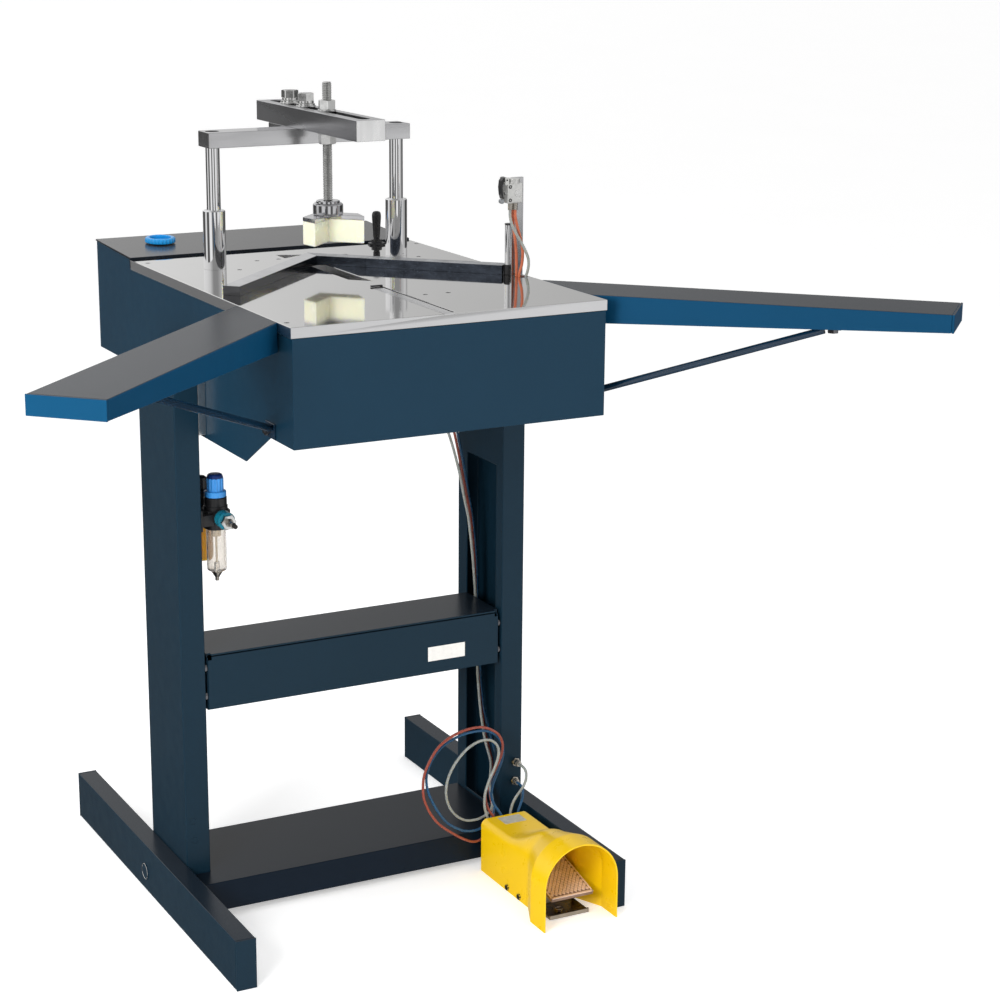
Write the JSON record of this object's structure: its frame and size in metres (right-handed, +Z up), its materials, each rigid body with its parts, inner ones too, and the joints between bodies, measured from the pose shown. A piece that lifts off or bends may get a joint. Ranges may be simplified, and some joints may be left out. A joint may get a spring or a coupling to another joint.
{
  "type": "picture frame underpinner",
  "caption": "Floor standing pneumatic machine that clamps a mitred frame corner against a right angled fence and drives V-shaped nails up into the joint.",
  "frame": {"origin": "on the floor, under the middle of the object's outline", "axes": "+Z up; the operator stands at -Y; +X to the operator's right; the YZ plane is the plane through the fence's apex"},
  "size_m": [1.262, 1.0495, 1.163],
  "materials": {
    "navy_paint": "fine textured powder coat",
    "cover_paint": "smooth gloss paint",
    "plate_steel": "polished",
    "ground_steel": "ground",
    "hardened_steel": "dark ground",
    "chrome_rod": "hard chrome",
    "zinc": "zinc plated",
    "black_steel": "blackened",
    "cylinder_alloy": "anodised",
    "valve_alloy": "die cast",
    "pad_urethane": "translucent cast urethane",
    "black_plastic": "moulded",
    "blue_plastic": "moulded",
    "clear_bowl": "clear moulded",
    "amber_bowl": "tinted moulded",
    "nickel": "nickel plated",
    "guard_yellow": "gloss paint",
    "tread_tan": "anodised tread",
    "bronze_sheet": "passivated",
    "hose_orange": "extruded",
    "hose_blue": "extruded",
    "hose_clear": "extruded"
  },
  "bodies": {
    "stand": {"feet": "navy_paint", "end_plates": "navy_paint", "posts": "navy_paint", "post_shims": "zinc", "frame_bolts": "zinc", "shelf": "navy_paint", "tool_box": "navy_paint", "cabinet": "navy_paint", "cabinet_pan": "navy_paint", "table_plate": "plate_steel", "scale_strip": "ground_steel", "rear_cover": "cover_paint", "wings": "navy_paint", "struts": "navy_paint", "fence_left": "ground_steel", "fence_right": "hardened_steel", "fence_insert": "hardened_steel", "guide_sleeves": "chrome_rod", "clamp_cylinder": "cylinder_alloy", "carriage_rails": "chrome_rod", "switch_bases": "black_plastic", "valve_stand": "chrome_rod", "valve_body": "valve_alloy", "frl_body": "black_plastic", "frl_bowl": "clear_bowl", "frl_oil_bowl": "amber_bowl", "frl_coupler": "nickel", "pedal_base": "bronze_sheet", "pedal_guard": "guard_yellow", "pedal_valve": "valve_alloy", "pedal_screws": "zinc", "hose_fittings": "nickel", "hose_orange": "hose_orange", "hose_blue": "hose_blue", "hose_clear": "hose_clear", "hose_post_a": "hose_clear", "hose_post_b": "hose_blue", "hose_valve_a": "hose_orange", "hose_valve_b": "hose_clear", "hose_valve_c": "hose_orange"},
    "drawer": {"drawer": "navy_paint"},
    "crosshead": {"guide_rods": "chrome_rod", "yoke": "ground_steel", "cross_bar": "ground_steel", "reach_bolts": "zinc", "clamp_piston": "chrome_rod"},
    "reach_bar": {"slotted_bar": "ground_steel", "spindle_nuts": "zinc"},
    "pad_spindle": {"spindle": "zinc", "pad_head": "ground_steel", "clamp_pad": "pad_urethane"},
    "nail_carriage": {"nail_carriage": "black_steel"},
    "driver": {"driver_blade": "ground_steel"},
    "pusher": {"nail_pusher": "zinc"},
    "toggle": {"lever_grip": "black_plastic"},
    "roller_lever": {"valve_lever": "black_plastic"},
    "rear_knob": {"rear_knob": "blue_plastic"},
    "pressure_knob": {"frl_knob": "blue_plastic"},
    "treadle": {"treadle": "tread_tan"},
    "plunger": {"valve_plunger": "chrome_rod"}
  },
  "joints": [
    {"name": "drawer_slide", "type": "slide", "parent": "stand", "child": "drawer", "axis": [0, -1, 0], "range_m": [0, 0.08]},
    {"name": "clamp_stroke", "type": "slide", "parent": "stand", "child": "crosshead", "axis": [0, 0, -1], "range_m": [0, 0.037], "stiffness_N_per_m": 2500, "springref_m": -0.08},
    {"name": "reach_adjust", "type": "slide", "parent": "crosshead", "child": "reach_bar", "axis": [0, -1, 0], "range_m": [-0.004, 0.05]},
    {"name": "pad_height", "type": "slide", "parent": "reach_bar", "child": "pad_spindle", "axis": [0, 0, 1], "range_m": [0, 0.03]},
    {"name": "nailer_shift", "type": "slide", "parent": "stand", "child": "nail_carriage", "axis": [0, -1, 0], "range_m": [0, 0.11]},
    {"name": "driver_stroke", "type": "slide", "parent": "nail_carriage", "child": "driver", "axis": [0, 0, 1], "range_m": [0, 0.016], "stiffness_N_per_m": 1500, "springref_m": -0.02},
    {"name": "nail_feed", "type": "slide", "parent": "nail_carriage", "child": "pusher", "axis": [0, -1, 0], "range_m": [0, 0.07], "stiffness_N_per_m": 120, "springref_m": -0.05},
    {"name": "toggle_tilt", "type": "hinge", "parent": "stand", "child": "toggle", "pos_m": [0.16, 0.34475, 0.907], "axis": [1, 0, 0], "range_deg": [-20, 20]},
    {"name": "roller_press", "type": "hinge", "parent": "stand", "child": "roller_lever", "pos_m": [0.1875, -0.01325, 1.036], "axis": [0, 1, 0], "range_deg": [-4.5, 0], "stiffness_Nm_per_rad": 0.1, "springref_deg": 17.19},
    {"name": "rear_knob_turn", "type": "hinge", "parent": "stand", "child": "rear_knob", "pos_m": [-0.146, 0.45975, 0.9071], "axis": [0, -0.0445, 0.999], "continuous": true},
    {"name": "pressure_turn", "type": "hinge", "parent": "stand", "child": "pressure_knob", "pos_m": [-0.205, 0.09975, 0.61], "axis": [0, 0, 1], "continuous": true},
    {"name": "treadle_press", "type": "hinge", "parent": "stand", "child": "treadle", "pos_m": [0.212, -0.08025, 0.058], "axis": [1, 0, 0], "range_deg": [0, 9], "stiffness_Nm_per_rad": 6, "springref_deg": -8.59},
    {"name": "plunger_slide", "type": "slide", "parent": "stand", "child": "plunger", "axis": [0, 0, -1], "range_m": [0, 0.0098]}
  ],
  "couplings": [
    {"joint": "plunger_slide", "follows": "treadle_press", "m_per_rad": 0.0612}
  ]
}
